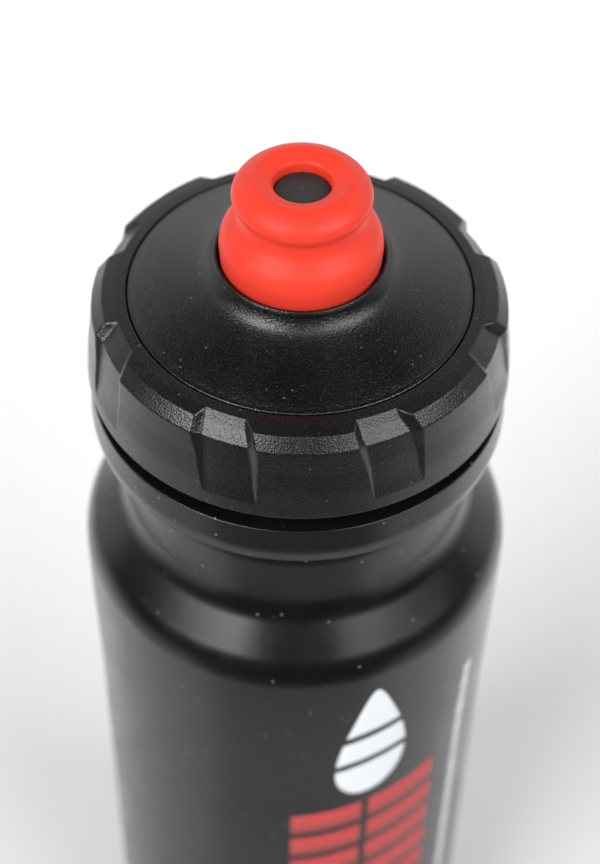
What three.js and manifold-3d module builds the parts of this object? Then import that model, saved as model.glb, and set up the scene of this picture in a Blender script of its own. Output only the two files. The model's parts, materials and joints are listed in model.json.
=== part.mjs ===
// Sports squeeze bottle for a bicycle cage: a blow-moulded bottle, a screw cap with a
// push-pull drinking nozzle, and the seals between them.
// Millimetres, +Z up, origin at the centre of the base. The nozzle is pushed shut and the
// cap is screwed home.
import * as THREE from 'three';
import { mergeVertices } from 'three/addons/utils/BufferGeometryUtils.js';
import Module from 'manifold-3d';

const wasm = await Module();
wasm.setup();

// ---- Driving dimensions -------------------------------------------------------------
const BODY_R = 36.75;         // outside of the straight body, for a 74 mm bottle cage
const BULGE_R = 37.3;         // widest line, where the body swells out below the shoulder
const SEAM_Z = 220;           // seam between the cap's dome and its grip ring, above the base
const WALL = 1.2;             // blown wall of the bottle
const FIT = 0.15;             // gap between pieces that are fixed together
const RUN = 0.1;              // radial gap between pieces that slide

const BULGE_Z = SEAM_Z - 57.1;
const BULGE_LENGTH = 40;      // height over which the body swells out
const SHOULDER_SLOPE = 40;    // degrees from upright
const CONVEX_R = 8.8;         // rounding of the shoulder into the bulge
const CONCAVE_R = 7.6;        // rounding of the shoulder into the waist
const WAIST_R = 29.6;         // the narrow band under the flange, where the cage's tab sits
const FLANGE_R = 34.4;        // the band right under the cap
const FLANGE_TOP = SEAM_Z - 19.1;
const FLANGE_BOTTOM = SEAM_Z - 26.2;
const FLANGE_UNDERCUT = 4;    // height over which the flange's underside slopes in to the waist
const NECK_R = 27.3;          // thread root
const NECK_BORE_R = 25;
const LIP_Z = SEAM_Z - 5.2;

const THREAD_PITCH = 5;
const THREAD_HEIGHT = 1.2;
const THREAD_BASE = 2.2;      // axial width of a ridge at its root
const THREAD_CREST = 1;       // axial width of a ridge at its crest
const THREAD_START = FLANGE_TOP + 3.2;   // middle of the neck's ridge at 0 degrees

const DOME_R = 27.24;         // outer edge of the dome, at the seam
const SKIRT_R = 30.3;         // outside of the threaded skirt under the grip ring
const SKIRT_BORE_R = 29;
const SKIRT_BOTTOM = SEAM_Z - 15.1;
const CEILING_Z = SEAM_Z - 3.6;
const CAP_WALL = 1.8;
const WELL_FLOOR = SEAM_Z + 1;           // floor of the well that the nozzle sinks into
const RING_SEAT = SEAM_Z - 1.9;          // shoulder of the skirt that carries the grip ring

const RING_BOTTOM_R = 34.5;
const RING_BOTTOM = SEAM_Z - 15.4;
const RING_TOP = SEAM_Z + 0.5;
const NOTCHES = 8;

const TUBE_R = 7.5;           // spout tube that the nozzle slides on
const TUBE_BORE_R = 5.2;
const STOP_R = 7.95;          // collars at the tube's end, which stop the pulled nozzle
const STOP_Z = SEAM_Z + 11;
const STOP_THICKNESS = 1;
const SEAL_GROOVE = 1.7;      // axial width of the seal's groove, between the two collars
const SEAL_SECTION_R = 0.75;
const HOLE_R = 4.45;          // drinking hole
const PLUG_R = 4.3;
const PLUG_TOP = SEAM_Z + 20.5;
const NOZZLE_BOTTOM = SEAM_Z + 2.4;
const SLEEVE_R = 9.9;
const SLEEVE_TOP_R = 8.2;
const SLEEVE_TOP = SEAM_Z + 19.4;
const SLEEVE_TAPER = [SEAM_Z + 13, SEAM_Z + 16.4];

const ROUND = 36;             // segments in a full turn

// ---- Geometry helpers ---------------------------------------------------------------
const v2 = (r, z) => new THREE.Vector2(r, z);

// Points of an arc in the (r, z) half-plane, from one angle to another in degrees.
function arc(r, z, radius, from, to, steps) {
  const points = [];
  for (let i = 0; i <= steps; i++) {
    const a = THREE.MathUtils.degToRad(from + ((to - from) * i) / steps);
    points.push(v2(r + radius * Math.cos(a), z + radius * Math.sin(a)));
  }
  return points;
}

// Points of a smooth curve through the given (r, z) points.
function flowing(points, steps) {
  return new THREE.SplineCurve(points).getPoints(steps);
}

// A closed (r, z) outline, anticlockwise with r to the right, turned about the Z axis.
function turned(outline) {
  const first = outline[0];
  const last = outline[outline.length - 1];
  const onAxis = first.x === 0 && last.x === 0;
  const points = onAxis ? outline : [...outline, first.clone()];
  return new THREE.LatheGeometry(points, ROUND).rotateX(Math.PI / 2);
}

// A geometry as a manifold-3d solid.
function solid(geometry) {
  const bare = geometry.index ? geometry.toNonIndexed() : geometry.clone();
  bare.deleteAttribute('normal');
  bare.deleteAttribute('uv');
  const merged = mergeVertices(bare, 1e-4);
  return new wasm.Manifold(new wasm.Mesh({
    numProp: 3,
    vertProperties: merged.attributes.position.array,
    triVerts: new Uint32Array(merged.index.array),
  }));
}

// A manifold-3d solid as a geometry.
function geometryOf(made) {
  const { vertProperties, triVerts, numProp } = made.getMesh();
  const geometry = new THREE.BufferGeometry();
  const data = new THREE.InterleavedBuffer(vertProperties, numProp);
  geometry.setAttribute('position', new THREE.InterleavedBufferAttribute(data, 3, 0));
  geometry.setIndex(new THREE.BufferAttribute(triVerts, 1));
  const flat = geometry.toNonIndexed();
  flat.computeVertexNormals();
  return flat;
}

// A ring from closed profiles round the axis, each a list of [r, z, angle] in the same order.
function profileGrid(profiles) {
  const count = profiles[0].length;
  const positions = profiles.flat().flatMap(([r, z, angle]) => [
    r * Math.cos(angle),
    r * Math.sin(angle),
    z,
  ]);
  const index = [];
  for (let j = 0; j < profiles.length; j++) {
    const here = j * count;
    const next = ((j + 1) % profiles.length) * count;
    for (let i = 0; i < count; i++) {
      const up = (i + 1) % count;
      index.push(here + i, next + i, next + up, here + i, next + up, here + up);
    }
  }
  const geometry = new THREE.BufferGeometry();
  geometry.setAttribute('position', new THREE.Float32BufferAttribute(positions, 3));
  geometry.setIndex(index);
  const flat = geometry.toNonIndexed();
  flat.computeVertexNormals();
  return flat;
}

// A helical ridge of trapezoidal section, from a root radius to a crest radius. It climbs
// anticlockwise seen from above, and its ends taper to half height over a twelfth of a turn.
function threadRidge({ rootR, crestR, startZ, startDeg, turns }) {
  const steps = Math.round(turns * ROUND);
  const buried = Math.sign(rootR - crestR) * 0.3;
  const positions = [];
  for (let i = 0; i <= steps; i++) {
    const taper = Math.min(1, 0.5 + (6 * Math.min(i, steps - i)) / ROUND);
    const crest = rootR + (crestR - rootR) * taper;
    const angle = THREE.MathUtils.degToRad(startDeg) + (2 * Math.PI * i) / ROUND;
    const z = startZ + (THREAD_PITCH * i) / ROUND;
    const section = [
      [rootR + buried, -THREAD_BASE / 2],
      [crest, -THREAD_CREST / 2],
      [crest, THREAD_CREST / 2],
      [rootR + buried, THREAD_BASE / 2],
    ];
    for (const [r, dz] of section) {
      positions.push(r * Math.cos(angle), r * Math.sin(angle), z + dz);
    }
  }
  const index = [];
  const quad = (a, b, c, d) => index.push(a, b, c, a, c, d);
  for (let i = 0; i < steps; i++) {
    for (let k = 0; k < 4; k++) {
      const next = (k + 1) % 4;
      quad(4 * i + k, 4 * i + next, 4 * (i + 1) + next, 4 * (i + 1) + k);
    }
  }
  quad(3, 2, 1, 0);
  const end = 4 * steps;
  quad(end, end + 1, end + 2, end + 3);
  if (crestR > rootR) {
    for (let i = 0; i < index.length; i += 3) {
      [index[i + 1], index[i + 2]] = [index[i + 2], index[i + 1]];
    }
  }
  const geometry = new THREE.BufferGeometry();
  geometry.setAttribute('position', new THREE.Float32BufferAttribute(positions, 3));
  geometry.setIndex(index);
  return geometry;
}

// ---- Bottle -------------------------------------------------------------------------
// The shoulder from the bulge up to the waist, or the same this far inside it.
function shoulder(inwards, steps) {
  const slope = THREE.MathUtils.degToRad(SHOULDER_SLOPE);
  const roundings = CONVEX_R + CONCAVE_R;
  const slopeRun = BULGE_R - WAIST_R - roundings * (1 - Math.cos(slope));
  const waistZ = BULGE_Z + roundings * Math.sin(slope) + slopeRun / Math.tan(slope);
  return [
    ...arc(BULGE_R - CONVEX_R, BULGE_Z, CONVEX_R - inwards, 0, SHOULDER_SLOPE, steps),
    ...arc(WAIST_R + CONCAVE_R, waistZ, CONCAVE_R + inwards, 180 + SHOULDER_SLOPE, 180, steps),
  ];
}

// Blown shell: base with a push-up, straight body, bulge, shoulder, waist, flange and neck.
function bottleBody() {
  const cornerR = 6;
  const footIn = 25;            // inner edge of the flat ring that the bottle stands on
  const pushUp = 5;
  const beadR = FLANGE_R - 2 * WALL;
  const outline = [
    v2(0, pushUp),
    v2(12, pushUp - 0.6),
    v2(20, pushUp - 2.4),
    v2(footIn, 0),
    ...arc(BODY_R - cornerR, cornerR, cornerR, -90, 0, 3),
    v2(BODY_R, BULGE_Z - BULGE_LENGTH),
    v2((BODY_R + BULGE_R) / 2, BULGE_Z - BULGE_LENGTH / 2),
    ...shoulder(0, 4),
    v2(WAIST_R, FLANGE_BOTTOM - FLANGE_UNDERCUT),
    v2(FLANGE_R - 0.4, FLANGE_BOTTOM),
    v2(FLANGE_R, FLANGE_BOTTOM + 2.2),
    v2(FLANGE_R - 0.3, FLANGE_TOP - 0.4),
    v2(FLANGE_R - 0.7, FLANGE_TOP),
    v2(NECK_R, FLANGE_TOP),
    v2(NECK_R, LIP_Z - 0.4),
    v2(NECK_R - 0.4, LIP_Z),
    v2(NECK_BORE_R, LIP_Z),
    v2(NECK_BORE_R, FLANGE_TOP),
    v2(NECK_BORE_R + 1.5, FLANGE_TOP - 1.5),
    v2(beadR, FLANGE_TOP - 1.5),
    v2(beadR, FLANGE_BOTTOM + 0.5),
    v2(WAIST_R - WALL, FLANGE_BOTTOM - FLANGE_UNDERCUT),
    ...shoulder(WALL, 4).reverse(),
    v2(BODY_R - WALL, BULGE_Z - BULGE_LENGTH),
    ...arc(BODY_R - cornerR, cornerR, cornerR - WALL, 0, -90, 2),
    v2(footIn + 0.5, WALL),
    v2(20.4, pushUp - 2.4 + WALL),
    v2(12, pushUp - 0.6 + WALL),
    v2(0, pushUp + WALL),
  ];
  const ridge = threadRidge({
    rootR: NECK_R,
    crestR: NECK_R + THREAD_HEIGHT,
    startZ: THREAD_START,
    startDeg: 0,
    turns: 1.5,
  });
  return geometryOf(solid(turned(outline)).add(solid(ridge)));
}

// ---- Cap ----------------------------------------------------------------------------
// Dome, well round the nozzle, spout tube and threaded skirt, in one moulding.
function capCore() {
  const wellR = 13.05;
  const collarTop = SEAM_Z + 8.1;
  const domeBoreR = 24.4;
  const grooveR = TUBE_R - 1.1;
  const grooveZ = STOP_Z + STOP_THICKNESS;
  const tubeTop = grooveZ + SEAL_GROOVE + STOP_THICKNESS;
  const dome = flowing([
    v2(DOME_R - 0.5, SEAM_Z + 0.65),
    v2(24, SEAM_Z + 1.7),
    v2(20, SEAM_Z + 3.2),
    v2(16, SEAM_Z + 5),
    v2(14.5, SEAM_Z + 6.3),
    v2(13.6, SEAM_Z + 8),
  ], 7);
  const outline = [
    v2(TUBE_BORE_R, WELL_FLOOR - CAP_WALL),
    v2(wellR + CAP_WALL, WELL_FLOOR - CAP_WALL),
    v2(wellR + CAP_WALL + 0.3, SEAM_Z + 1.6),
    v2(16.6, SEAM_Z + 2.6),
    v2(20, SEAM_Z + 1.3),
    v2(domeBoreR, SEAM_Z - 0.3),
    v2(domeBoreR, CEILING_Z),
    v2(SKIRT_BORE_R, CEILING_Z),
    v2(SKIRT_BORE_R, SKIRT_BOTTOM),
    v2(SKIRT_R, SKIRT_BOTTOM),
    v2(SKIRT_R, RING_SEAT),
    v2(DOME_R, RING_SEAT),
    v2(DOME_R, SEAM_Z + 0.2),
    ...dome,
    v2(13.4, collarTop),
    v2(wellR, collarTop - 0.2),
    v2(wellR, WELL_FLOOR),
    v2(TUBE_R, WELL_FLOOR),
    v2(TUBE_R, STOP_Z),
    v2(STOP_R, STOP_Z),
    v2(STOP_R, grooveZ),
    v2(grooveR, grooveZ),
    v2(grooveR, grooveZ + SEAL_GROOVE),
    v2(STOP_R, grooveZ + SEAL_GROOVE),
    v2(STOP_R - 0.6, tubeTop),
    v2(TUBE_BORE_R, tubeTop),
  ];
  const ridgeZ = SKIRT_BOTTOM + 1.5;
  const aboveNeckRidge = ridgeZ - THREAD_START - THREAD_PITCH / 2;
  const ridge = threadRidge({
    rootR: SKIRT_BORE_R,
    crestR: SKIRT_BORE_R - THREAD_HEIGHT,
    startZ: ridgeZ,
    startDeg: (360 * aboveNeckRidge) / THREAD_PITCH,
    turns: 1.25,
  });
  return geometryOf(solid(turned(outline)).add(solid(ridge)));
}

// The ring's outside, from foot to top. Each row gives [r, z] on the plain outline and on a
// notch's floor, and how far round from the notch's middle its two walls meet the floor and
// the outside. The first wall is steep and the second a long ramp.
const RING_ROWS = [
  { land: [34.2, SEAM_Z - 12.8], floor: [34.2, SEAM_Z - 12.8], in: [-2, 6.5], out: [-2.1, 6.7] },
  { land: [34.03, SEAM_Z - 10.4], floor: [33.45, SEAM_Z - 10.4], in: [-2.1, 6], out: [-2.5, 6.6] },
  { land: [33.45, SEAM_Z - 6.2], floor: [32.75, SEAM_Z - 6.2], in: [-2.5, 5.5], out: [-3.2, 6.5] },
  { land: [33.05, SEAM_Z - 2.1], floor: [32.1, SEAM_Z - 2.7], in: [-3.1, 4.8], out: [-4.3, 6.1] },
  { land: [31.3, SEAM_Z + 0.1], floor: [30.4, SEAM_Z - 0.9], in: [-3.4, 3.7], out: [-4.4, 4.9] },
  { land: [29.3, RING_TOP], floor: [29.3, RING_TOP], in: [-3.3, 2.9], out: [-3.5, 3.3] },
];

// Grip ring: flat top, chamfer, flared side and finger notches, as a grid of profiles round
// the axis. The profiles at a notch follow its walls' edges.
function gripRing() {
  const boreR = SKIRT_R + 2 * FIT;
  const topBoreR = DOME_R + 0.25;
  const plateBottom = RING_SEAT + FIT;
  const plain = (r, z) => ({ land: [r, z], floor: [r, z], in: [-3, 3], out: [-4, 4] });
  const outline = [
    plain(boreR, plateBottom),
    plain(boreR, RING_BOTTOM),
    plain(RING_BOTTOM_R, RING_BOTTOM),
    ...RING_ROWS,
    plain(topBoreR, RING_TOP),
    plain(topBoreR, plateBottom),
  ];
  const pitch = (2 * Math.PI) / NOTCHES;
  const profiles = [];
  for (let n = 0; n < NOTCHES; n++) {
    const middle = (n + 0.5) * pitch;
    const between = (share) => outline.map((row) => [...row.land, middle + share * pitch]);
    const wallTop = (side) => outline.map(({ land, out }) => [...land, middle + out[side] / land[0]]);
    const floorAt = (share) => outline.map((row) => {
      const across = THREE.MathUtils.lerp(row.in[0], row.in[1], share);
      return [...row.floor, middle + across / row.floor[0]];
    });
    profiles.push(between(-0.42), between(-0.27), wallTop(0), floorAt(0));
    profiles.push(floorAt(0.5), floorAt(1), wallTop(1), between(0.4));
  }
  return profileGrid(profiles);
}

// Flat seal between the neck's lip and the cap's ceiling.
function capGasket() {
  return turned([
    v2(NECK_BORE_R + 0.2, LIP_Z + RUN / 2),
    v2(SKIRT_BORE_R - 0.3, LIP_Z + RUN / 2),
    v2(SKIRT_BORE_R - 0.3, CEILING_Z - RUN / 2),
    v2(NECK_BORE_R + 0.2, CEILING_Z - RUN / 2),
  ]);
}

// ---- Spout --------------------------------------------------------------------------
// Plug: a post with a broad head, on three spokes in a ring that snaps into the tube.
function spoutPlug() {
  const ringR = TUBE_BORE_R - FIT;
  const ringBoreR = ringR - 1;
  const ringTop = SEAM_Z + 8;
  const flangeTop = WELL_FLOOR - CAP_WALL - FIT;
  const flangeBottom = flangeTop - 1;
  const postR = 2;
  const postBottom = SEAM_Z + 3;
  const ring = solid(turned([
    v2(ringBoreR, flangeBottom),
    v2(TUBE_BORE_R + 1.4, flangeBottom),
    v2(TUBE_BORE_R + 1.4, flangeTop),
    v2(ringR, flangeTop),
    v2(ringR, ringTop),
    v2(ringBoreR, ringTop),
  ]));
  const post = solid(turned([
    v2(0, postBottom),
    v2(postR, postBottom),
    v2(postR, PLUG_TOP - 5.5),
    v2(PLUG_R, PLUG_TOP - 3),
    v2(PLUG_R, PLUG_TOP - 0.3),
    v2(PLUG_R - 0.3, PLUG_TOP),
    v2(0, PLUG_TOP),
  ]));
  let plug = ring.add(post);
  const spokeLength = (ringBoreR + ringR) / 2;
  const spokeHeight = ringTop - postBottom;
  for (let i = 0; i < 3; i++) {
    const spoke = new THREE.BoxGeometry(spokeLength, 1.4, spokeHeight);
    spoke.translate(spokeLength / 2, 0, postBottom + spokeHeight / 2);
    plug = plug.add(solid(spoke.rotateZ((i * 2 * Math.PI) / 3)));
  }
  return geometryOf(plug);
}

// Round seal in the tube's groove.
function spoutSeal() {
  const grooveZ = STOP_Z + STOP_THICKNESS;
  const ringR = STOP_R + RUN / 2 - SEAL_SECTION_R;
  return new THREE.TorusGeometry(ringR, SEAL_SECTION_R, 6, ROUND)
    .translate(0, 0, grooveZ + SEAL_GROOVE / 2);
}

// Hard sleeve that slides on the tube. Its inner lip catches the tube's collar.
function nozzleSleeve() {
  const boreR = STOP_R + RUN + 0.05;
  const lip = 2;
  return turned([
    v2(TUBE_R + RUN, NOZZLE_BOTTOM),
    v2(SLEEVE_R, NOZZLE_BOTTOM),
    v2(SLEEVE_R, SLEEVE_TAPER[0]),
    v2(SLEEVE_TOP_R, SLEEVE_TAPER[1]),
    v2(SLEEVE_TOP_R, SLEEVE_TOP),
    v2(HOLE_R, SLEEVE_TOP),
    v2(HOLE_R, SEAM_Z + 17.5),
    v2(6.8, SEAM_Z + 17),
    v2(6.8, SEAM_Z + 15.8),
    v2(boreR, SEAM_Z + 15.2),
    v2(boreR, NOZZLE_BOTTOM + lip),
    v2(TUBE_R + RUN, NOZZLE_BOTTOM + lip),
  ]);
}

// Soft mouthpiece over the sleeve: lower bulge, waist, and a dished top ring.
function nozzleBite() {
  const outside = [
    v2(12.3, NOZZLE_BOTTOM),
    v2(12.6, SEAM_Z + 6),
    ...flowing([
      v2(12.7, SEAM_Z + 9.5),
      v2(12.5, SEAM_Z + 11.6),
      v2(11.75, SEAM_Z + 13.05),
      v2(10.6, SEAM_Z + 14.2),
      v2(9.6, SEAM_Z + 15.6),
    ], 5),
    v2(9.35, SEAM_Z + 17.1),
    ...flowing([
      v2(9.8, SEAM_Z + 18.1),
      v2(10.74, SEAM_Z + 19.6),
      v2(10.25, SEAM_Z + 21),
      v2(8.9, SEAM_Z + 22.2),
      v2(7.3, SEAM_Z + 22.9),
      v2(6, SEAM_Z + 22.5),
      v2(HOLE_R, SEAM_Z + 22),
    ], 9),
  ];
  return turned([
    v2(SLEEVE_R + FIT, NOZZLE_BOTTOM),
    ...outside,
    v2(HOLE_R, SLEEVE_TOP + FIT),
    v2(SLEEVE_TOP_R + FIT, SLEEVE_TOP + FIT),
    v2(SLEEVE_TOP_R + FIT, SLEEVE_TAPER[1]),
    v2(SLEEVE_R + FIT, SLEEVE_TAPER[0]),
  ]);
}

// ---- Assembly -----------------------------------------------------------------------
const bottle = new THREE.Group();

function place(name, geometry, color, roughness) {
  const material = new THREE.MeshStandardMaterial({ color, roughness, metalness: 0 });
  const mesh = new THREE.Mesh(geometry, material);
  mesh.name = name;
  bottle.add(mesh);
}

place('bottle_body', bottleBody(), 0x38383a, 0.5);
place('cap_core', capCore(), 0x1d1d1f, 0.5);
place('grip_ring', gripRing(), 0x2a2a2c, 0.6);
place('cap_gasket', capGasket(), 0xb9bab8, 0.7);
place('spout_plug', spoutPlug(), 0x3c3c3e, 0.5);
place('spout_seal', spoutSeal(), 0x18181a, 0.7);
place('nozzle_sleeve', nozzleSleeve(), 0xc23a30, 0.45);
place('nozzle_bite', nozzleBite(), 0xf5503f, 0.55);

export default bottle;
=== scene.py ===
"""Looks of the sports squeeze bottle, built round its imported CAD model.

Blender's units are metres, +Z up, with the origin at the centre of the base. Outlines are
written in millimetres, as (radius from the axis, height above the cap's seam).
"""
import json
import math

import bpy
import numpy as np
from mathutils import Matrix, Vector


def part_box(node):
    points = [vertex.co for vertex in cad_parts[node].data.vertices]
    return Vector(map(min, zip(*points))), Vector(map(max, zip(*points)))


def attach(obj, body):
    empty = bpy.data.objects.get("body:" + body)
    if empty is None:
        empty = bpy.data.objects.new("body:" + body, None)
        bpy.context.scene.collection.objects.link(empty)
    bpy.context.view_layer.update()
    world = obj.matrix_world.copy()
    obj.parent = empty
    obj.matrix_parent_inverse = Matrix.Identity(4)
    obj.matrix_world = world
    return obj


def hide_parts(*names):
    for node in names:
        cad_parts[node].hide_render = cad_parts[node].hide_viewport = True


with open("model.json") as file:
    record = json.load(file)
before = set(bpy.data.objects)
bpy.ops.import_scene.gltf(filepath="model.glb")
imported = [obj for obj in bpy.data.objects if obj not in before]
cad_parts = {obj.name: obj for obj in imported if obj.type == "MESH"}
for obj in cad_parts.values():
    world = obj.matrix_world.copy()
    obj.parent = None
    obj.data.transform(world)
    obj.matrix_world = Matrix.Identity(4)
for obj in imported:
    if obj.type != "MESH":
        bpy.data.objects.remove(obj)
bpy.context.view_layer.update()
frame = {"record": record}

MM = 0.001
SECTORS = 192                 # columns of a turned piece


# ---- Sizes, from the frame -------------------------------------------------------------
def span(node):
    """A node's lowest and highest corners in millimetres."""
    return [np.array(corner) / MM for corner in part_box(node)]


RING_RISE = 0.5               # the ring's flat top above the seam
RUN = 0.1                     # radial gap between pieces that slide
FIT = 0.15                    # gap between pieces that are fixed together

BODY, CORE, RING, GASKET = map(span, ("bottle_body", "cap_core", "grip_ring", "cap_gasket"))
PLUG, SLEEVE, BITE = map(span, ("spout_plug", "nozzle_sleeve", "nozzle_bite"))
SEAM = RING[1][2] - RING_RISE
BASE = -SEAM                  # the plane that the bottle stands on, below the seam

BULGE_R = BODY[1][0]          # the shoulder's widest line, a little wider than the body
BODY_R = BULGE_R - 0.55
LIP = BODY[1][2] - SEAM       # top of the neck
SKIRT_BOTTOM = CORE[0][2] - SEAM
TUBE_TOP = CORE[1][2] - SEAM
RING_BOTTOM = RING[0][2] - SEAM
NOZZLE_BOTTOM = SLEEVE[0][2] - SEAM
SLEEVE_TOP = SLEEVE[1][2] - SEAM
SLEEVE_R = SLEEVE[1][0]
SLEEVE_TOP_R = 8.2            # above the sleeve's taper
TAPER_BOTTOM, TAPER_TOP = 13, 16.4
PLUG_TOP = PLUG[1][2] - SEAM
CREST = BITE[1][2] - SEAM     # highest line of the mouthpiece
COUPLING = frame["record"]["behaviour"]["couplings"][0]
THREAD_PITCH = COUPLING["ratio"] * 2 * math.pi / MM
THREAD_HEIGHT = 1.2

WALL = 1.2                    # blown wall of the bottle
WAIST_R = 29.6                # narrow band between the shoulder and the flange
BULGE_Z = -57.1
BULGE_LENGTH = 40             # height over which the body swells out to the shoulder
SHOULDER_TURN = 40            # slope of the shoulder, degrees from upright
CONVEX_R = 8.8                # rounding of the shoulder into the body, and into the waist
CONCAVE_R = 7.6
NECK_R = 27.3
NECK_BORE_R = 25
FLANGE_TOP = -19.1
FLANGE_BOTTOM = -26.2
FLANGE_UNDERCUT = 4           # height over which the flange's underside slopes in to the waist
FLANGE_R = 34.4
NECK_THREAD = FLANGE_TOP + 3.2           # middle of the neck's ridge at angle 0
NECK_TURNS = 1.5

DOME_R = 27.24                # outer edge of the dome, at the seam
SKIRT_R = CORE[1][0]
SKIRT_BORE_R = SKIRT_R - 1.3
SKIRT_THREAD = SKIRT_BOTTOM + 1.5
SKIRT_TURNS = 1.25
CEILING = GASKET[1][2] - SEAM + RUN / 2
RING_SEAT = -1.9              # shoulder of the skirt that carries the grip ring
WELL_FLOOR = 1.0              # floor of the well that the nozzle sinks into
CAP_WALL = 1.8
TUBE_R = 7.5                  # spout tube that the nozzle slides on
TUBE_BORE_R = 5.2
STOP_R = 7.95                 # collars at the tube's end, either side of the seal's groove
STOP_BOTTOM = 11
GROOVE_BOTTOM, GROOVE_TOP = 12.0, 13.7
HOLE_R = 4.45                 # drinking hole


# ---- Mesh helpers ----------------------------------------------------------------------
WIDE_FILLET = 3               # fillets from this radius up get three times the steps


def filleted(rows, steps=6):
    """A closed outline with its corners rounded.

    A row is (r, z, fillet radius) and any further values, which are blended alike.
    A row whose radius is 0 stays a point of the outline. A fillet takes up at most half of the
    runs beside it.
    """
    rows = np.array(rows, float)
    values = np.delete(rows, 2, axis=1)
    outline = []
    for i, corner in enumerate(values):
        radius = rows[i][2]
        if radius == 0:
            outline.append(corner)
            continue
        before = values[i - 1] - corner
        after = values[(i + 1) % len(values)] - corner
        before_length = np.hypot(*before[:2])
        after_length = np.hypot(*after[:2])
        cosine = before[:2] @ after[:2] / (before_length * after_length)
        half_turn = (math.pi - math.acos(max(-1, min(1, cosine)))) / 2
        setback = radius * math.tan(half_turn)
        start = corner + before * min(0.5, setback / before_length)
        end = corner + after * min(0.5, setback / after_length)
        weight = math.cos(half_turn)
        count = steps if radius < WIDE_FILLET else 3 * steps
        for t in np.linspace(0, 1, count + 1):
            shares = np.array([(1 - t) ** 2, 2 * weight * t * (1 - t), t * t])
            outline.append(shares @ [start, corner, end] / shares.sum())
    return np.array(outline)


def supported(outline, edge=0.15, longest=4.0):
    """The outline with extra points near the ends of long runs, so that flats shade flat."""
    points = []
    for here, after in zip(outline, np.roll(outline, -1, axis=0)):
        length = np.hypot(*(after - here)[:2])
        points.append(here)
        if length < 4 * edge:
            continue
        shares = [edge / length]
        inner = math.ceil((length - 2 * edge) / longest)
        shares += [(edge + (length - 2 * edge) * i / inner) / length for i in range(1, inner + 1)]
        points += [here + (after - here) * share for share in shares]
    return np.array(points)


def curve(points, steps=6):
    """Rows of a smooth stretch through (r, z) points, with the given steps between two."""
    points = [np.array(p, float) for p in points]
    padded = [2 * points[0] - points[1], *points, 2 * points[-1] - points[-2]]
    rows = []
    for i in range(1, len(padded) - 2):
        a, b, c, d = padded[i - 1:i + 3]
        for t in np.arange(steps) / steps:
            p = 0.5 * (2 * b + (c - a) * t + (2 * a - 5 * b + 4 * c - d) * t ** 2
                       + (3 * b - a - 3 * c + d) * t ** 3)
            rows.append((p[0], p[1], 0))
    rows.append((*points[-1], 0))
    return rows


def mesh_object(name, vertices, faces):
    """A smooth-shaded mesh object from vertices in millimetres above the base."""
    mesh = bpy.data.meshes.new(name)
    mesh.from_pydata((np.array(vertices) * MM).tolist(), [], faces)
    mesh.validate()
    mesh.shade_smooth()
    made = bpy.data.objects.new(name, mesh)
    bpy.context.scene.collection.objects.link(made)
    return made


def grid_faces(rows, columns):
    """Quads between each of a grid's rows and the next. Every row closes on itself."""
    faces = []
    for i in range(rows):
        for j in range(columns):
            here = i * columns + j
            beside = i * columns + (j + 1) % columns
            faces.append((here, beside, beside + columns, here + columns))
    return faces


def closed_grid_faces(rows, columns):
    """The same for a grid whose last row joins its first."""
    total = rows * columns
    return [tuple(v % total for v in face) for face in grid_faces(rows, columns)]


def grid_vertices(radius, height, angle):
    """Vertices above the base from grids of radius, height above the seam and angle."""
    grid = np.stack([radius * np.cos(angle), radius * np.sin(angle), height + SEAM], axis=2)
    return grid.reshape(-1, 3)


def turned(name, outline, relief=None, sectors=SECTORS):
    """A closed body from an anticlockwise outline turned about the axis.

    relief(radius, height, angle) gives the changed radius and height, for threads and marks. An
    outline that starts and ends on the axis gets a pole at each end.
    """
    outline = np.array(outline)[:, :2]
    on_axis = outline[0][0] == 0 and outline[-1][0] == 0
    ring = outline[1:-1] if on_axis else outline
    angle = np.arange(sectors) * 2 * math.pi / sectors
    radius = np.repeat(ring[:, :1], sectors, axis=1)
    height = np.repeat(ring[:, 1:], sectors, axis=1)
    if relief:
        radius, height = relief(radius, height, angle)
    vertices = grid_vertices(radius, height, angle)
    count = len(ring)
    if not on_axis:
        return mesh_object(name, vertices, closed_grid_faces(count, sectors))
    poles = [(0, 0, outline[0][1] + SEAM), (0, 0, outline[-1][1] + SEAM)]
    first, last = len(vertices), len(vertices) + 1
    faces = grid_faces(count - 1, sectors)
    top = (count - 1) * sectors
    for j in range(sectors):
        k = (j + 1) % sectors
        faces.append((first, k, j))
        faces.append((last, top + j, top + k))
    return mesh_object(name, [*vertices, *poles], faces)


def smooth(share):
    """0 to 1 with no corners at the ends."""
    share = np.clip(share, 0, 1)
    return share * share * (3 - 2 * share)


THREAD_ROW = 0.12             # spacing of an outline's rows along a thread


def thread_height(height, angle, start, start_angle, turns):
    """Height of a helical ridge, 0 to 1, at a grid of heights and angles."""
    base, crest, end_turn = 2.4, 0.8, 1 / 12
    ridge = np.zeros_like(height)
    for wrap in range(-1, math.ceil(turns) + 2):
        turn = (angle - start_angle) / (2 * math.pi) + wrap
        offset = np.abs(height - start - THREAD_PITCH * turn)
        flank = smooth((base / 2 - offset) / (base / 2 - crest / 2))
        fade = smooth(np.minimum(turn, turns - turn) / end_turn + 0.5)
        ridge = np.maximum(ridge, flank * fade)
    return ridge


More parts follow.
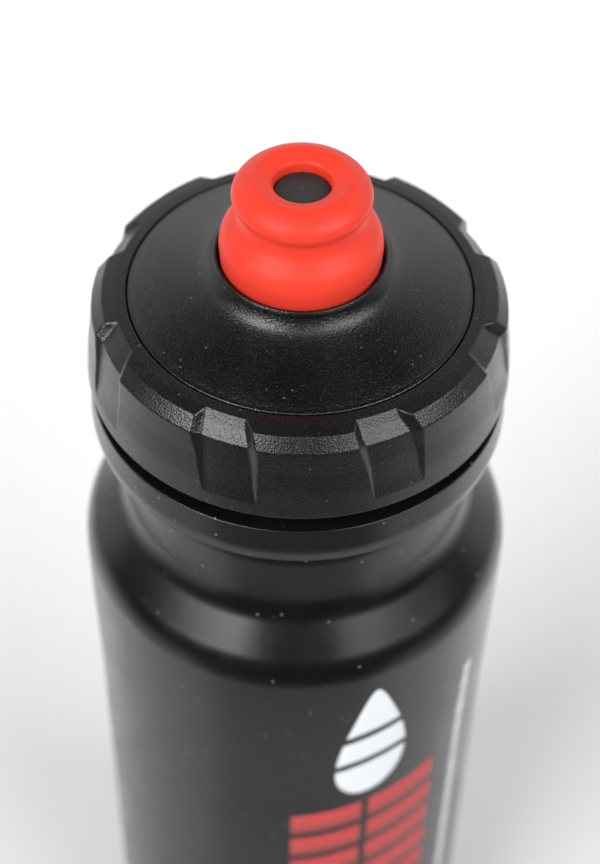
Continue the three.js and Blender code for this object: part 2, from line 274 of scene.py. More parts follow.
# ---- Bottle ----------------------------------------------------------------------------
def shoulder_rows(inwards=0.0):
    """Rows from the bulge up to the waist: a rounding out, a slope and a rounding in."""
    turn = math.radians(SHOULDER_TURN)
    turns = np.linspace(0, turn, 16)
    convex, concave = CONVEX_R - inwards, CONCAVE_R + inwards
    slope_run = BULGE_R - WAIST_R - (CONVEX_R + CONCAVE_R) * (1 - math.cos(turn))
    concave_z = BULGE_Z + (CONVEX_R + CONCAVE_R) * math.sin(turn) + slope_run / math.tan(turn)
    outer = [(BULGE_R - CONVEX_R + convex * math.cos(a), BULGE_Z + convex * math.sin(a), 0)
             for a in turns]
    inner = [(WAIST_R + CONCAVE_R - concave * math.cos(a), concave_z - concave * math.sin(a), 0)
             for a in reversed(turns)]
    return outer + inner


def body_radius(z):
    """Outside of the straight body, which swells out to the bulge at its top."""
    return BODY_R + (BULGE_R - BODY_R) * smooth(1 + (z - BULGE_Z) / BULGE_LENGTH)


def bottle_outline():
    """The blown shell, from under the base up to the lip and back down its inside."""
    foot_in, corner_r, push_up = 25, 6, 5
    bead_r = FLANGE_R - 2 * WALL
    undercut = FLANGE_BOTTOM - FLANGE_UNDERCUT
    swell = [(body_radius(z), z, 0) for z in np.linspace(BULGE_Z - BULGE_LENGTH, BULGE_Z, 12)[:-1]]
    under = [(0, push_up), (8, push_up - 0.25), (14, push_up - 1), (19, push_up - 2.2),
             (22.5, push_up - 3.7)]
    under_inside = [(r, z + WALL) for r, z in reversed(under)]
    neck_rows = [(NECK_R, z, 0) for z in np.arange(FLANGE_TOP + 0.6, LIP - 0.6, THREAD_ROW)]
    return [
        *[(r, BASE + z, radius) for r, z, radius in curve(under)],
        (foot_in, BASE, 1),
        (BODY_R, BASE, corner_r),
        *swell,
        *shoulder_rows(),
        (WAIST_R, undercut - 3, 6),
        (WAIST_R - 0.45, undercut, 1),
        (FLANGE_R - 0.4, FLANGE_BOTTOM, 0.7),
        (FLANGE_R, FLANGE_BOTTOM + 2.2, 6),
        (FLANGE_R - 0.45, FLANGE_TOP, 0.25),
        (NECK_R, FLANGE_TOP, 0.4),
        *neck_rows,
        (NECK_R, LIP, 0.4),
        (NECK_BORE_R, LIP, 0.3),
        (NECK_BORE_R, FLANGE_TOP, 0.8),
        (NECK_BORE_R + 1.5, FLANGE_TOP - 1.5, 0.8),
        (bead_r, FLANGE_TOP - 1.5, 1),
        (bead_r, FLANGE_BOTTOM + 0.5, 1),
        (WAIST_R - WALL, undercut, 9),
        *reversed(shoulder_rows(WALL)),
        *[(r - WALL, z, 0) for r, z, radius in reversed(swell)],
        (BODY_R - WALL, BASE + WALL, corner_r - WALL),
        (foot_in + 0.4, BASE + WALL, 1),
        *[(r, BASE + z, radius) for r, z, radius in curve(under_inside)],
    ]


def bottle_relief(radius, height, angle):
    """The neck's thread."""
    on_neck = np.abs(radius - NECK_R) < 1e-6
    ridge = thread_height(height, angle, NECK_THREAD, 0, NECK_TURNS)
    return radius + THREAD_HEIGHT * ridge * on_neck, height


def bottle_body():
    return turned("bottle_shell", supported(filleted(bottle_outline())), bottle_relief)


# ---- Printed pattern -------------------------------------------------------------------
PRINT_COLUMNS = 12
PRINT_LIFTS = (-0.03, 0.02)   # a print's back and face, out from the body's surface


def printed(name, patches):
    """Thin closed patches of print on the straight body.

    A patch is its rows, as (height, left edge, right edge) from the bottom up, and a slant, which
    raises it for every millimetre to the right. Edges are measured round the body from the front.
    """
    columns = PRINT_COLUMNS
    vertices, faces = [], []
    for rows, slant in patches:
        first, count = len(vertices), len(rows) * columns
        for lift in PRINT_LIFTS:
            for height, left, right in rows:
                for across in np.linspace(left, right, columns):
                    z = height + slant * across
                    radius = body_radius(z) + lift
                    angle = across / BODY_R - math.pi / 2
                    vertices.append((radius * math.cos(angle), radius * math.sin(angle), z + SEAM))
        for i in range(len(rows) - 1):
            for j in range(columns - 1):
                a = first + i * columns + j
                d = a + columns
                faces.append((a, d, d + 1, a + 1))
                faces.append((a + count, a + 1 + count, d + 1 + count, d + count))
        bottom = list(range(columns))
        right = [columns - 1 + i * columns for i in range(1, len(rows))]
        top = [(len(rows) - 1) * columns + j for j in range(columns - 2, -1, -1)]
        left = [i * columns for i in range(len(rows) - 2, 0, -1)]
        rim = [first + v for v in bottom + right + top + left]
        for p, q in zip(rim, rim[1:] + rim[:1]):
            faces.append((p, q, q + count, p + count))
    return mesh_object(name, vertices, faces)


def drop_patches():
    """A drop of water, cut by two slanted gaps."""
    middle, foot, tip, slant = 14, -97, -64, 0.22
    fullness, taper, least = 18.6875, 0.72, 0.05
    patches = []
    for low, high in ((0, 0.3), (0.36, 0.56), (0.62, 1)):
        rows = []
        for share in np.linspace(low, high, 24):
            half = max(least, fullness * math.sqrt(share * (1 - share)) * (1 - taper * share))
            rows.append((foot + (tip - foot) * share, middle - half, middle + half))
        patches.append((rows, slant))
    return patches


def dash_patches():
    """A column of short dashes beside the drop, from the bottom up."""
    left, right, gap = 35.2, 37.6, 0.8
    lengths = [1.6, 2.4, 1.6, 3.2, 1.6, 1.6, 2.4]
    bottom = -158.0
    patches = []
    for i in range(30):
        top = bottom + lengths[i % len(lengths)]
        patches.append(([(bottom, left, right), (top, left, right)], 0.0))
        bottom = top + gap
    return patches


def bar_patches():
    """Two columns of slanted bars, from the top down."""
    highest, pitch, height, slant = -99.5, 8.2, 6.2, 0.15
    patches = []
    for left, right in ((-0.5, 12.8), (14.2, 28.8)):
        for i in range(9):
            top = highest - pitch * i
            patches.append(([(top - height, left, right), (top, left, right)], slant))
    return patches


def print_white():
    return printed("print_white", drop_patches() + dash_patches())


def print_red():
    return printed("print_red", bar_patches())


# ---- Cap -------------------------------------------------------------------------------
def core_outline():
    """Dome, well, spout tube and threaded skirt in one moulding, from inside the tube round."""
    well_r, collar_top, dome_bore_r = 13.05, 8.1, 24.4
    under_well = WELL_FLOOR - CAP_WALL
    groove_r = TUBE_R - 1.1
    dome = curve([(DOME_R - 0.6, 0.62), (25.8, 1.0), (24, 1.7), (20, 3.2), (17.6, 4.2), (16, 5),
                  (15.1, 5.65), (14.5, 6.35), (14.05, 7.1), (13.8, 7.7)])
    thread_rows = [(SKIRT_BORE_R, z, 0)
                   for z in np.arange(CEILING - 0.8, SKIRT_BOTTOM + 0.3, -THREAD_ROW)]
    return [
        (TUBE_BORE_R, under_well, 0.2),
        (well_r + CAP_WALL, under_well, 0.5),
        (well_r + CAP_WALL + 0.3, 1.6, 0.6),
        (16.6, 2.6, 0.6),
        (20, 1.3, 1),
        (dome_bore_r, -0.3, 1),
        (dome_bore_r, CEILING, 0.4),
        (SKIRT_BORE_R, CEILING, 0.4),
        *thread_rows,
        (SKIRT_BORE_R, SKIRT_BOTTOM, 0.2),
        (SKIRT_R, SKIRT_BOTTOM, 0.3),
        (SKIRT_R, RING_SEAT, 0.3),
        (DOME_R, RING_SEAT, 0.2),
        (DOME_R, 0.45, 0.35),
        *dome,
        (13.55, collar_top, 0.16),
        (well_r, collar_top, 0.25),
        (well_r, WELL_FLOOR, 0.3),
        (TUBE_R, WELL_FLOOR, 0.3),
        (TUBE_R, STOP_BOTTOM, 0.1),
        (STOP_R, STOP_BOTTOM, 0.15),
        (STOP_R, GROOVE_BOTTOM, 0.1),
        (groove_r, GROOVE_BOTTOM, 0.1),
        (groove_r, GROOVE_TOP, 0.1),
        (STOP_R, GROOVE_TOP, 0.1),
        (STOP_R - 0.6, TUBE_TOP, 0.15),
        (TUBE_BORE_R, TUBE_TOP, 0.2),
    ]


def core_relief(radius, height, angle):
    """The skirt's thread, half a pitch above the neck's."""
    on_skirt = (np.abs(radius - SKIRT_BORE_R) < 1e-6) & (height < CEILING - 0.7)
    above_neck = SKIRT_THREAD - NECK_THREAD - THREAD_PITCH / 2
    start_angle = 2 * math.pi * above_neck / THREAD_PITCH
    ridge = thread_height(height, angle, SKIRT_THREAD, start_angle, SKIRT_TURNS)
    return radius - THREAD_HEIGHT * ridge * on_skirt, height


def cap_core():
    return turned("cap_dome", supported(filleted(core_outline())), core_relief)


# The ring's outline from foot to top: the plain outside as (r, z, fillet), a notch's floor as
# (r, z), and how far round from the notch's middle its walls meet the floor and the outside.
NOTCHES = 8
RING_ROWS = [
    ((34.2, -12.8, 1.0), (34.2, -12.8), (-2.0, 6.5), (-2.1, 6.7)),
    ((34.03, -10.4, 30), (33.6, -10.4), (-2.1, 6.0), (-2.5, 6.6)),
    ((33.45, -6.2, 1.5), (32.85, -6.2), (-2.5, 5.5), (-3.2, 6.5)),
    ((33.05, -2.1, 0.6), (32.1, -2.7), (-3.1, 4.8), (-4.3, 6.1)),
    ((31.3, 0, 0.45), (30.4, -0.95), (-3.4, 3.7), (-4.4, 4.9)),
    ((29.3, 0.35, 0.4), (29.3, 0.35), (-3.3, 2.9), (-3.5, 3.3)),
]


def ring_outline():
    """The ring's rows, each with its land, its notch floor and how its notch's walls run."""
    bore_r = SKIRT_R + 2 * FIT
    top_bore_r = DOME_R + 0.25
    foot_r = RING[1][0] * 0.999
    plate_bottom = RING_SEAT + FIT

    def plain(r, z, radius):
        return (r, z, radius, r, z, -3, 3, -4, 4)

    return [
        plain(bore_r, plate_bottom, 0.2),
        plain(bore_r, RING_BOTTOM, 0.25),
        plain(foot_r, RING_BOTTOM, 0.3),
        *[(*land, *floor, *foot, *top) for land, floor, foot, top in RING_ROWS],
        plain(top_bore_r, RING_RISE, 0.2),
        plain(top_bore_r, plate_bottom, 0.15),
    ]


def softened_ramp(share):
    """A straight ramp from 0 to 1 whose two corners are rounded."""
    soft = 0.3
    share = np.clip(share, -soft, 1 + soft)
    low = np.where(share < soft, (share + soft) ** 2 / (4 * soft), share)
    return np.where(share > 1 - soft, 1 - (1 + soft - share) ** 2 / (4 * soft), low)


def notch_columns(middle, outline):
    """Columns of the ring's grid across one notch and the land after it.

    A column is its angle at each row, and how deep it lies, from 0 on the land to 1 on the floor.
    """
    land_r = outline[:, 0]
    foot, top = outline.T[4:6], outline.T[6:8]
    overrun = 0.35            # how far the fine columns run past a wall's edges, as a share of it

    def at_wall(side, share):
        """Distance round from the notch's middle, from a wall's outer edge at 0 to its foot at 1."""
        return top[side] + (foot[side] - top[side]) * share

    def between(first, last, share):
        return first + (last - first) * share

    floor = at_wall(0, 1 + overrun), at_wall(1, 1 + overrun)
    pitch = 2 * math.pi / NOTCHES * land_r
    land = at_wall(1, -overrun), pitch + at_wall(0, -overrun)
    across = []
    for share in np.linspace(-overrun, 1 + overrun, 22)[:-1]:
        across.append((at_wall(0, share), softened_ramp(share)))
    for share in np.linspace(0.1, 0.9, 14):
        across.append((between(*floor, share), 1.0))
    for share in np.linspace(1 + overrun, -overrun, 26)[1:]:
        across.append((at_wall(1, share), softened_ramp(share)))
    for share in np.linspace(0, 1, 18)[1:-1]:
        across.append((between(*land, share), 0.0))
    return [(middle + distance / land_r, depth) for distance, depth in across]


def grip_ring():
    """Flat top, chamfer, flared side and finger notches, on a grid that is finer at the notches."""
    outline = supported(filleted(ring_outline(), 8), 0.2, 0.8)
    land_r, land_z, floor_r, floor_z = outline.T[:4]
    columns = []
    for n in range(NOTCHES):
        columns += notch_columns((n + 0.5) * 2 * math.pi / NOTCHES, outline)
    angle = np.stack([a for a, depth in columns], axis=1)
    depth = np.stack([depth * np.ones(len(outline)) for a, depth in columns], axis=1)
    radius = land_r[:, None] + (floor_r - land_r)[:, None] * depth
    height = land_z[:, None] + (floor_z - land_z)[:, None] * depth
    faces = closed_grid_faces(len(outline), len(columns))
    return mesh_object("cap_grip", grid_vertices(radius, height, angle), faces)


def cap_gasket():
    low, high = GASKET[0][2] - SEAM, GASKET[1][2] - SEAM
    inner, outer = NECK_BORE_R + 0.2, GASKET[1][0]
    return turned("cap_seal", supported(filleted([
        (inner, low, 0.3), (outer, low, 0.3), (outer, high, 0.3), (inner, high, 0.3),
    ])))


# ---- Spout -----------------------------------------------------------------------------
def joined(target, parts):
    """Joins closed parts to the target and removes them."""
    for part in parts:
        cut = target.modifiers.new("join", "BOOLEAN")
        cut.operation = "UNION"
        cut.solver = "EXACT"
        cut.object = part
    evaluated = target.evaluated_get(bpy.context.evaluated_depsgraph_get())
    mesh = bpy.data.meshes.new_from_object(evaluated)
    target.modifiers.clear()
    target.data = mesh
    for part in parts:
        bpy.data.objects.remove(part)
    return target


def plug_relief(radius, height, angle):
    """The gate's mark in the middle of the head: a small raised cross."""
    arms = np.abs(np.sin(2 * angle)) ** 3
    mark = smooth(1 - radius / (1.3 - 0.75 * arms)) * (height > PLUG_TOP - 0.05)
    return radius, height + 0.12 * mark


def rounded_bar(name, length, width, height, radius):
    """A bar from the axis outwards along X, with rounded edges."""
    half = width / 2
    section = filleted([
        (-half, 0, radius), (half, 0, radius), (half, height, radius), (-half, height, radius),
    ], 4)
    count = len(section)
    vertices = [(x, y, z) for x in (0, length) for y, z in section]
    faces = [tuple(range(count - 1, -1, -1)), tuple(range(count, 2 * count))]
    for i in range(count):
        j = (i + 1) % count
        faces.append((i, j, count + j, count + i))
    return mesh_object(name, vertices, faces)


def spout_plug():
    """A post with a broad head, on three spokes in a ring that snaps into the tube."""
    ring_r = TUBE_BORE_R - FIT
    bore_r = ring_r - 1
    flange_r = TUBE_BORE_R + 1.4
    flange_top = WELL_FLOOR - CAP_WALL - FIT
    ring_top, post_bottom, post_r, head_r = 8, 3, 2, 4.3
    top = curve([(head_r - 0.6, PLUG_TOP), (2.4, PLUG_TOP), (1.5, PLUG_TOP), (0.9, PLUG_TOP),
                 (0.35, PLUG_TOP), (0, PLUG_TOP)], 5)
    post = turned("spout_stopper", supported(filleted([
        (0, post_bottom, 0),
        (post_r, post_bottom, 0.2),
        (post_r, PLUG_TOP - 5.5, 0.5),
        (head_r, PLUG_TOP - 3, 0.5),
        (head_r, PLUG_TOP, 0.35),
        *top,
    ])), plug_relief, 96)
    ring = turned("plug_ring", supported(filleted([
        (bore_r, flange_top - 1, 0.2),
        (flange_r, flange_top - 1, 0.2),
        (flange_r, flange_top, 0.2),
        (ring_r, flange_top, 0.1),
        (ring_r, ring_top, 0.3),
        (bore_r, ring_top, 0.2),
    ])), sectors=96)
    length, width, inset = (bore_r + ring_r) / 2, 1.4, 0.05
    lift = Matrix.Translation(Vector((0, 0, (SEAM + post_bottom + inset) * MM)))
    spokes = []
    for i in range(3):
        spoke = rounded_bar("spoke", length, width, ring_top - post_bottom - 2 * inset, 0.25)
        spoke.data.transform(Matrix.Rotation(i * 2 * math.pi / 3, 4, "Z") @ lift)
        spokes.append(spoke)
    return joined(post, [ring, *spokes])


def spout_seal():
    section_r, middle = 0.75, (GROOVE_BOTTOM + GROOVE_TOP) / 2
    ring_r = STOP_R + RUN / 2 - section_r
    turns = np.linspace(0, 2 * math.pi, 25)[:-1]
    section = [(ring_r + section_r * math.cos(a), middle + section_r * math.sin(a)) for a in turns]
    return turned("spout_o_ring", section)


def nozzle_sleeve():
    bore_r, slide_r, neck_r = STOP_R + FIT, TUBE_R + RUN, 6.8
    lip_top = NOZZLE_BOTTOM + 2
    return turned("nozzle_core", supported(filleted([
        (slide_r, NOZZLE_BOTTOM, 0.2),
        (SLEEVE_R, NOZZLE_BOTTOM, 0.3),
        (SLEEVE_R, TAPER_BOTTOM, 0.5),
        (SLEEVE_TOP_R, TAPER_TOP, 0.5),
        (SLEEVE_TOP_R, SLEEVE_TOP, 0.3),
        (HOLE_R, SLEEVE_TOP, 0.2),
        (HOLE_R, 17.5, 0.2),
        (neck_r, 17, 0.2),
        (neck_r, 15.8, 0.2),
        (bore_r, 15.2, 0.2),
        (bore_r, lip_top, 0.2),
        (slide_r, lip_top, 0.2),
    ])))


def nozzle_bite():
    """Soft mouthpiece: a lower bulge, a groove and a dished top ring, over the sleeve."""
    inside_r = SLEEVE_R + FIT
    inside_top_r = SLEEVE_TOP_R + FIT
    bulge = [(12.62, 8.75), (12.72, 9.8), (12.68, 10.7), (12.5, 11.6), (12.2, 12.35),
             (11.75, 13.05), (11.2, 13.65), (10.6, 14.2), (10.05, 14.8), (9.65, 15.5)]
    groove = [(9.42, 16.3), (9.35, 17.1), (9.47, 17.7), (9.8, 18.15), (10.3, 18.55)]
    top_ring = [(10.62, 19.05), (10.74, 19.7), (10.6, 20.4), (10.25, 21.0), (9.65, 21.65),
                (8.9, 22.2), (8.1, 22.65), (7.3, CREST), (6.7, CREST - 0.08), (6.1, 22.55),
                (5.6, 22.35)]
    return turned("nozzle_mouthpiece", supported(filleted([
        (inside_r, NOZZLE_BOTTOM, 0.2),
        (12.35, NOZZLE_BOTTOM, 0.5),
        (12.6, 8.2, 0.1),
        *curve(bulge + groove + top_ring, 4),
        (HOLE_R, 22.0, 1.0),
        (HOLE_R, SLEEVE_TOP + FIT, 0.2),
        (inside_top_r, SLEEVE_TOP + FIT, 0.3),
        (inside_top_r, TAPER_TOP, 0.5),
        (inside_r, TAPER_BOTTOM, 0.5),
    ])))


# ---- Finishes --------------------------------------------------------------------------
class Finish:
    """A procedural material: a Principled surface and short calls for the nodes that feed it."""

    def __init__(self, name):
        self.material = bpy.data.materials.new(name)
        self.material.use_nodes = True
        self.tree = self.material.node_tree
        self.surface = self.tree.nodes["Principled BSDF"]
        self.place = self.node("ShaderNodeTexCoord").outputs["Object"]

    def node(self, kind, inputs=(), **settings):
        made = self.tree.nodes.new(kind)
        for key, value in settings.items():
            setattr(made, key, value)
        for key, value in dict(inputs).items():
            self.feed(made.inputs[key], value)
        return made

    def feed(self, socket, value):
        if isinstance(value, bpy.types.NodeSocket):
            self.tree.links.new(value, socket)
        else:
            socket.default_value = value

    def scaled(self, scale):
        """The place in the piece, times a scale for each axis."""
        return self.node("ShaderNodeVectorMath", {0: self.place, 1: scale},
                         operation="MULTIPLY").outputs[0]

    def noise(self, size, detail, stretch=(1, 1, 1), roughness=0.5):
        """Noise whose features are about size mm across."""
        return self.node("ShaderNodeTexNoise", {
            "Vector": self.scaled([s / (size * MM) for s in stretch]),
            "Scale": 1.0, "Detail": detail, "Roughness": roughness,
        }).outputs["Fac"]

    def dots(self, spacing, size, share):
        """1 in dots that stand in this share of the cells of a grid about spacing mm wide.

        size is a dot's radius as a share of the spacing.
        """
        cells = self.node("ShaderNodeTexVoronoi", {
            "Vector": self.scaled([1 / (spacing * MM)] * 3), "Scale": 1.0, "Randomness": 1.0,
        })
        near = self.ramp(cells.outputs["Distance"], size / 2, size, 1, 0)
        pick = self.node("ShaderNodeSeparateColor", {0: cells.outputs["Color"]}).outputs[0]
        return self.math("MULTIPLY", near, self.math("GREATER_THAN", pick, 1 - share))

    def ramp(self, value, low, high, out_low=0.0, out_high=1.0):
        """value from low..high to out_low..out_high, clamped."""
        return self.node("ShaderNodeMapRange", {
            "Value": value, "From Min": low, "From Max": high, "To Min": out_low, "To Max": out_high,
        }).outputs["Result"]

    def math(self, operation, a, b):
        return self.node("ShaderNodeMath", {0: a, 1: b}, operation=operation).outputs[0]

    def mix(self, share, a, b):
        """A colour between a and b."""
        made = self.node("ShaderNodeMix", data_type="RGBA")
        self.feed(made.inputs["Factor"], share)
        for key, value in (("A", a), ("B", b)):
            socket = [s for s in made.inputs if s.name == key and s.type == "RGBA"][0]
            self.feed(socket, (*value, 1) if isinstance(value, tuple) else value)
        return [s for s in made.outputs if s.type == "RGBA"][0]

    def bump(self, height, depth):
        """A bump depth mm deep."""
        return self.node("ShaderNodeBump", {
            "Height": height, "Distance": depth * MM, "Strength": 1.0,
        }).outputs["Normal"]

    def set(self, **inputs):
        """Feeds the surface's inputs, with _ for the spaces in their names."""
        for key, value in inputs.items():
            self.feed(self.surface.inputs[key.replace("_", " ")], value)


def shaded(colour, share):
    """A colour made darker or lighter."""
    return tuple(c * share for c in colour)


def black_plastic(name, colour, roughness, grain_size, grain_depth, peak_tone=0.0, dust=0.3):
    """Moulded black plastic: fine grain, uneven gloss, faint scuffs, pits and a little dust.

    peak_tone is how much paler the grain's peaks are.
    """
    finish = Finish(name)
    blotch = finish.noise(9, 2)
    grain = finish.noise(grain_size, 2)
    scuff = finish.ramp(finish.noise(3, 4, (1, 1, 0.12), 0.7), 0.62, 0.75)
    uneven = finish.ramp(blotch, 0.3, 0.7, roughness - 0.03, roughness + 0.04)
    gloss = finish.math("ADD", uneven, finish.math("MULTIPLY", scuff, 0.06))
    pitted = finish.ramp(finish.dots(1.1, 0.2, 0.1), 0, 1, 0.5, 0.1)
    tone = finish.mix(blotch, shaded(colour, 0.75), shaded(colour, 1.1))
    peaks = finish.ramp(grain, 0.56, 0.7)
    tone = finish.mix(peaks, tone, tuple(c + peak_tone for c in colour))
    specks = finish.math("MULTIPLY", finish.dots(1.3, 0.17, 0.1), dust)
    finish.set(Base_Color=finish.mix(specks, tone, (0.25, 0.24, 0.23)), Roughness=gloss,
               Specular_IOR_Level=pitted, Normal=finish.bump(grain, grain_depth))
    return finish.material


def red_elastomer():
    """The mouthpiece's soft red, which lets a little light in."""
    finish = Finish("bite_red")
    blotch = finish.noise(6, 2)
    tone = finish.mix(blotch, (0.70, 0.042, 0.0215), (0.74, 0.044, 0.023))
    finish.set(Base_Color=tone, Roughness=finish.ramp(blotch, 0.3, 0.7, 0.38, 0.46),
               Subsurface_Weight=0.1, Subsurface_Radius=(1.0, 0.25, 0.12), Subsurface_Scale=1.2 * MM,
               Specular_IOR_Level=0.2, Sheen_Weight=0.05, Sheen_Roughness=0.4,
               Normal=finish.bump(finish.noise(0.35, 2), 0.006))
    return finish.material


def rubber(name, colour, roughness):
    """A hidden seal or sleeve, with an uneven tone."""
    finish = Finish(name)
    blotch = finish.noise(3, 3)
    uneven = finish.ramp(blotch, 0.3, 0.7, roughness - 0.05, roughness + 0.05)
    finish.set(Base_Color=finish.mix(blotch, shaded(colour, 0.85), shaded(colour, 1.15)),
               Roughness=uneven, Normal=finish.bump(finish.noise(0.2, 2), 0.01))
    return finish.material


def ink(name, colour):
    """Screen-printed ink, slightly worn."""
    finish = Finish(name)
    worn = finish.ramp(finish.noise(1.2, 4, (1, 1, 1), 0.7), 0.66, 0.74)
    finish.set(Base_Color=finish.mix(worn, colour, shaded(colour, 0.6)), Roughness=0.5)
    return finish.material


# ---- Pieces on their bodies ------------------------------------------------------------
BOTTLE_BLACK = black_plastic("bottle_black", (0.0042, 0.0042, 0.0044), 0.27, 0.3, 0.012, dust=1.0)
CAP_BLACK = black_plastic("cap_black", (0.0022, 0.0022, 0.0023), 0.28, 0.3, 0.08, peak_tone=0.012)
GRIP_BLACK = black_plastic("grip_black", (0.0065, 0.0065, 0.0067), 0.28, 0.3, 0.07, peak_tone=0.012)
PLUG_GREY = black_plastic("plug_grey", (0.020, 0.020, 0.021), 0.45, 0.25, 0.008)
GASKET_SILICONE = rubber("gasket_silicone", (0.5, 0.5, 0.48), 0.5)
SEAL_BLACK = rubber("seal_black", (0.01, 0.01, 0.01), 0.5)
SLEEVE_RED = rubber("sleeve_red", (0.5, 0.04, 0.028), 0.4)

PIECES = [
    (bottle_body, "bottle", "bottle_body", "bottle_plastic", BOTTLE_BLACK),
    (cap_core, "cap", "cap_core", "cap_plastic", CAP_BLACK),
    (grip_ring, "cap", "grip_ring", "grip_plastic", GRIP_BLACK),
    (cap_gasket, "seal", "cap_gasket", "gasket_rubber", GASKET_SILICONE),
    (spout_plug, "cap", "spout_plug", "plug_plastic", PLUG_GREY),
    (spout_seal, "cap", "spout_seal", "seal_rubber", SEAL_BLACK),
    (nozzle_sleeve, "nozzle", "nozzle_sleeve", "sleeve_plastic", SLEEVE_RED),
    (nozzle_bite, "nozzle", "nozzle_bite", "bite_rubber", red_elastomer()),
]
for build, body, node, slot, material in PIECES:
    piece = build()
    piece.data.materials.append(material)
    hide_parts(node)
    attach(piece, body)

PRINTS = [
    (print_white, ink("ink_white", (0.70, 0.73, 0.76))),
    (print_red, ink("ink_red", (0.45, 0.045, 0.045))),
]
for build, material in PRINTS:
    piece = build()
    piece.data.materials.append(material)
    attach(piece, "bottle")


# ---- Stage -----------------------------------------------------------------------------
def floor():
    """A pale table with painted light: it glows a little more away from the camera, so it looks
    paler there. Shiny pieces don't see it.
    """
    size = 3.0
    mesh = bpy.data.meshes.new("floor")
    corners = [(-size, -size, 0), (size, -size, 0), (size, size, 0), (-size, size, 0)]
    mesh.from_pydata(corners, [], [(0, 1, 2, 3)])
    made = bpy.data.objects.new("floor", mesh)
    bpy.context.scene.collection.objects.link(made)
    finish = Finish("floor_white")
    tone = finish.mix(finish.noise(60, 2), (0.755, 0.755, 0.765), (0.775, 0.775, 0.785))
    away = finish.node("ShaderNodeSeparateXYZ", {0: finish.place}).outputs["Y"]
    # Painted light: the emission makes the table glow, more and more away from the camera.
    finish.set(Base_Color=tone, Roughness=0.7, Specular_IOR_Level=0.1,
               Emission_Color=(1, 1, 1, 1),
               Emission_Strength=finish.ramp(away, -0.05, 0.35, 0.0, 0.1))
    mesh.materials.append(finish.material)
    made.visible_glossy = False


class Studio:
    """The world: soft patches of light on a dark room, seen by everything but the camera."""

    def __init__(self):
        made = bpy.data.worlds.new("studio")
        bpy.context.scene.world = made
        made.use_nodes = True
        self.tree = made.node_tree
        direction = self.tree.nodes.new("ShaderNodeTexCoord").outputs["Generated"]
        split = self.tree.nodes.new("ShaderNodeSeparateXYZ")
        self.tree.links.new(direction, split.inputs[0])
        x, y, z = split.outputs
        self.azimuth = self.math("ARCTAN2", x, self.math("MULTIPLY", y, -1.0))
        self.elevation = self.math("ARCSINE", z)
        self.light = None

    def math(self, operation, a, b=0.0):
        made = self.tree.nodes.new("ShaderNodeMath")
        made.operation = operation
        for socket, value in zip(made.inputs, (a, b)):
            if isinstance(value, bpy.types.NodeSocket):
                self.tree.links.new(value, socket)
            else:
                socket.default_value = value
        return made.outputs[0]

    def within(self, angle, middle, reach, soft):
        """1 within reach of the middle, falling smoothly to 0 over soft degrees round its edge."""
        offset = self.math("WRAP", self.math("SUBTRACT", angle, math.radians(middle)), math.pi)
        offset.node.inputs[2].default_value = -math.pi
        made = self.tree.nodes.new("ShaderNodeMapRange")
        made.interpolation_type = "SMOOTHSTEP"
        self.tree.links.new(self.math("ABSOLUTE", offset), made.inputs["Value"])
        made.inputs["From Min"].default_value = math.radians(reach - soft / 2)
        made.inputs["From Max"].default_value = math.radians(reach + soft / 2)
        made.inputs["To Min"].default_value = 1
        made.inputs["To Max"].default_value = 0
        return made.outputs["Result"]

    def patch(self, radiance, azimuth, elevation, width, height, soft):
        """Light from a patch of sky, in degrees, whose edge is soft degrees wide.

        Azimuth 0 is in front, positive to +X. A width of 360 goes all the way round.
        """
        share = self.within(self.elevation, elevation, height / 2, soft)
        if width < 360:
            share = self.math("MULTIPLY", share, self.within(self.azimuth, azimuth, width / 2, soft))
        light = self.math("MULTIPLY", share, radiance)
        self.light = light if self.light is None else self.math("ADD", self.light, light)

    def finish(self, pale):
        """Connects the light. The camera sees a plain pale backdrop instead."""
        background = self.tree.nodes["Background"]
        seen = self.tree.nodes.new("ShaderNodeLightPath").outputs["Is Camera Ray"]
        others = self.math("MULTIPLY", self.light, self.math("SUBTRACT", 1.0, seen))
        strength = self.math("ADD", others, self.math("MULTIPLY", seen, pale))
        self.tree.links.new(strength, background.inputs["Strength"])
        background.inputs["Color"].default_value = (1, 1, 1, 1)


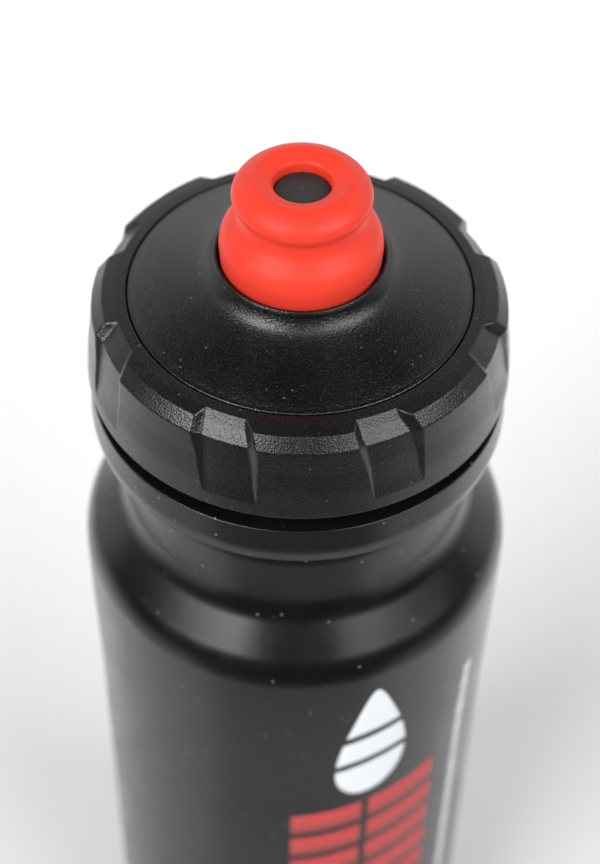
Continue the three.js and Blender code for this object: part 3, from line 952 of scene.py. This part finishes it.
def studio():
    """A pale room with a black bottle's reflections in mind: each patch shows on its side."""
    room = Studio()
    room.patch(0.05, 0, 55, 360, 70, 20)         # dim ceiling
    room.patch(0.05, 0, -40, 360, 80, 20)        # dim room, and the table in its shade
    room.patch(0.65, 0, -90, 360, 80, 50)        # table round the bottle's foot
    room.patch(0.62, -100, -38, 110, 42, 14)     # table at the sides
    room.patch(0.62, 100, -38, 110, 42, 14)
    room.patch(0.8, 180, -24, 180, 44, 30)       # table behind, and the white wall over it
    room.patch(0.95, 180, 20, 150, 44, 10)
    room.patch(0.45, -88, 28, 44, 26, 12)        # walls at the sides
    room.patch(0.5, 88, 28, 44, 26, 12)
    room.patch(0.9, 0, 54, 50, 30, 14)           # room in front
    room.patch(11.5, -45, 37, 42, 26, 8)         # two soft boxes in front
    room.patch(6.8, 52, 37, 54, 26, 8)
    room.finish(0.9)


def camera():
    """The camera, placed from the cap's seam: it looks down on it, slightly rolled.

    It is in focus on the front of the cap.
    """
    distance, above_seam, down = 216.63, 210.195, math.radians(48.437)
    roll, pan, azimuth = math.radians(1.36), math.radians(0.132), math.radians(-1.4)
    lens = 79.55
    ahead = Vector((math.sin(pan) * math.cos(down), math.cos(pan) * math.cos(down), -math.sin(down)))
    right = Vector((math.cos(pan), -math.sin(pan), 0))
    up = right.cross(ahead)
    side = math.cos(roll) * right + math.sin(roll) * up
    top = math.cos(roll) * up - math.sin(roll) * right
    turn = Matrix((side, top, -ahead)).transposed().to_4x4()
    place = Matrix.Translation(Vector((0, -distance, SEAM + above_seam)) * MM)
    data = bpy.data.cameras.new("camera")
    data.lens = lens
    data.sensor_width = 36
    made = bpy.data.objects.new("camera", data)
    made.matrix_world = Matrix.Rotation(azimuth, 4, "Z") @ place @ turn
    sharp = bpy.data.objects.new("focus", None)
    sharp.location = Vector((0, -20, SEAM + 8)) * MM
    bpy.context.scene.collection.objects.link(sharp)
    data.dof.use_dof = True
    data.dof.focus_object = sharp
    data.dof.aperture_fstop = 15
    bpy.context.scene.collection.objects.link(made)
    bpy.context.scene.camera = made


floor()
studio()
camera()
bpy.context.scene.view_settings.view_transform = "Standard"
